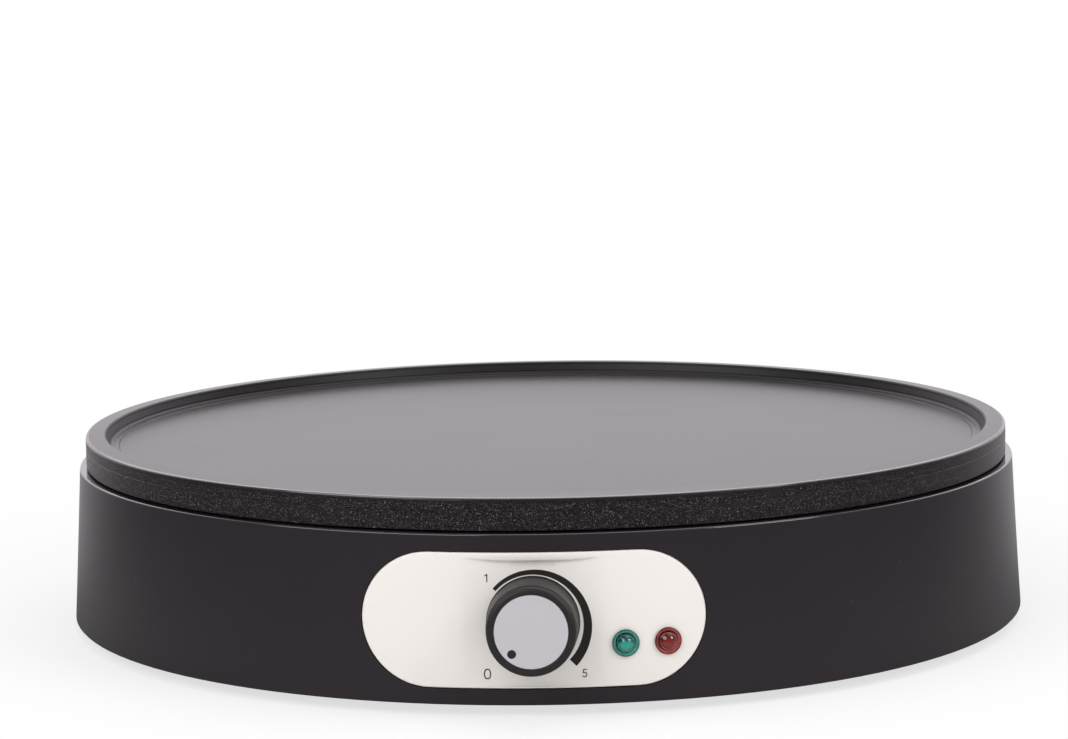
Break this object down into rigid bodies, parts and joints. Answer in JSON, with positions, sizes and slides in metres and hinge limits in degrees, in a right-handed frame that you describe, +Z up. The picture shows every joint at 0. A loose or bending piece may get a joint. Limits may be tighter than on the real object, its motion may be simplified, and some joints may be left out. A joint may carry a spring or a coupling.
{
  "type": "electric crepe maker",
  "caption": "Round electric griddle for crepes: a flat cast plate with a low rim on a flared base, with a thermostat dial and pilot lamps on a front panel.",
  "frame": {"origin": "centre of the bounding box's underside, on the table under the feet", "axes": "+Z up out of the cooking face, the dial faces -Y and the cord leaves at +Y"},
  "size_m": [0.3152, 0.3318, 0.0638],
  "materials": {
    "griddle": "non-stick coating, fine matt texture",
    "base": "satin moulded thermoplastic",
    "panel": "smooth off-white with printed dial",
    "knob": "satin",
    "cap": "fine satin silver",
    "green_lens": "clear green",
    "red_lens": "clear red",
    "rubber": "matt",
    "steel": "zinc plated",
    "alu": "rolled sheet",
    "sheath": "oxidised element sheath",
    "brass": "turned",
    "silver": "silver contact",
    "ceramic": "unglazed steatite",
    "cover": "fine texture",
    "nylon": "natural nylon",
    "neon": "clear",
    "sleeve": "woven glass sleeve",
    "live": "silicone insulation",
    "neutral": "silicone insulation",
    "earth": "silicone insulation",
    "hot_wire": "silicone insulation"
  },
  "bodies": {
    "base": {"griddle_plate": "griddle", "heating_element": "sheath", "element_bushes": "ceramic", "element_terminals": "steel", "element_straps": "steel", "strap_screws": "steel", "heat_reflector": "alu", "boss_spacers": "ceramic", "plate_screws": "steel", "plate_washers": "steel", "housing_shell": "base", "bottom_cover": "cover", "cover_screws": "steel", "rubber_feet": "rubber", "control_panel": "panel", "panel_screws": "steel", "spindle_bush": "brass", "bush_nut": "brass", "thermostat_frame": "steel", "frame_screws": "steel", "ceramic_stack": "ceramic", "stack_rivet": "steel", "moving_leaf": "brass", "fixed_leaf": "brass", "contact_rivets": "silver", "thermostat_tabs": "brass", "tab_sockets": "brass", "bimetal_strip": "steel", "bimetal_button": "ceramic", "sensor_bracket": "alu", "sensor_screw": "steel", "green_lens": "green_lens", "red_lens": "red_lens", "lens_retainers": "steel", "neon_lamps": "neon", "lamp_sleeves": "sleeve", "lamp_wires": "sleeve", "crimp_cap": "nylon", "terminal_block": "nylon", "terminal_barrels": "brass", "terminal_screws": "steel", "block_screws": "steel", "thermal_fuse": "brass", "fuse_sleeve": "sleeve", "fuse_clip": "steel", "clip_screw": "steel", "earth_tag": "brass", "earth_screw": "brass", "earth_nut": "brass", "cord_bush": "rubber", "live_wire": "live", "neutral_wire": "neutral", "earth_wire": "earth", "switched_wire": "hot_wire", "fuse_wire": "hot_wire"},
    "pin": {"adjusting_pin": "ceramic"},
    "knob": {"knob_body": "knob", "knob_cap": "cap", "knob_spring": "steel", "spindle": "steel"}
  },
  "joints": [
    {"name": "pin_feed", "type": "slide", "parent": "base", "child": "pin", "axis": [0, 0.9983, -0.0577], "range_m": [0, 0.0007555]},
    {"name": "knob_turn", "type": "hinge", "parent": "pin", "child": "knob", "pos_m": [0, -0.14648, 0.02712], "axis": [0, 0.9983, -0.0577], "range_deg": [0, 272]}
  ],
  "couplings": [
    {"joint": "knob_turn", "follows": "pin_feed", "rad_per_m": 6283.2}
  ]
}
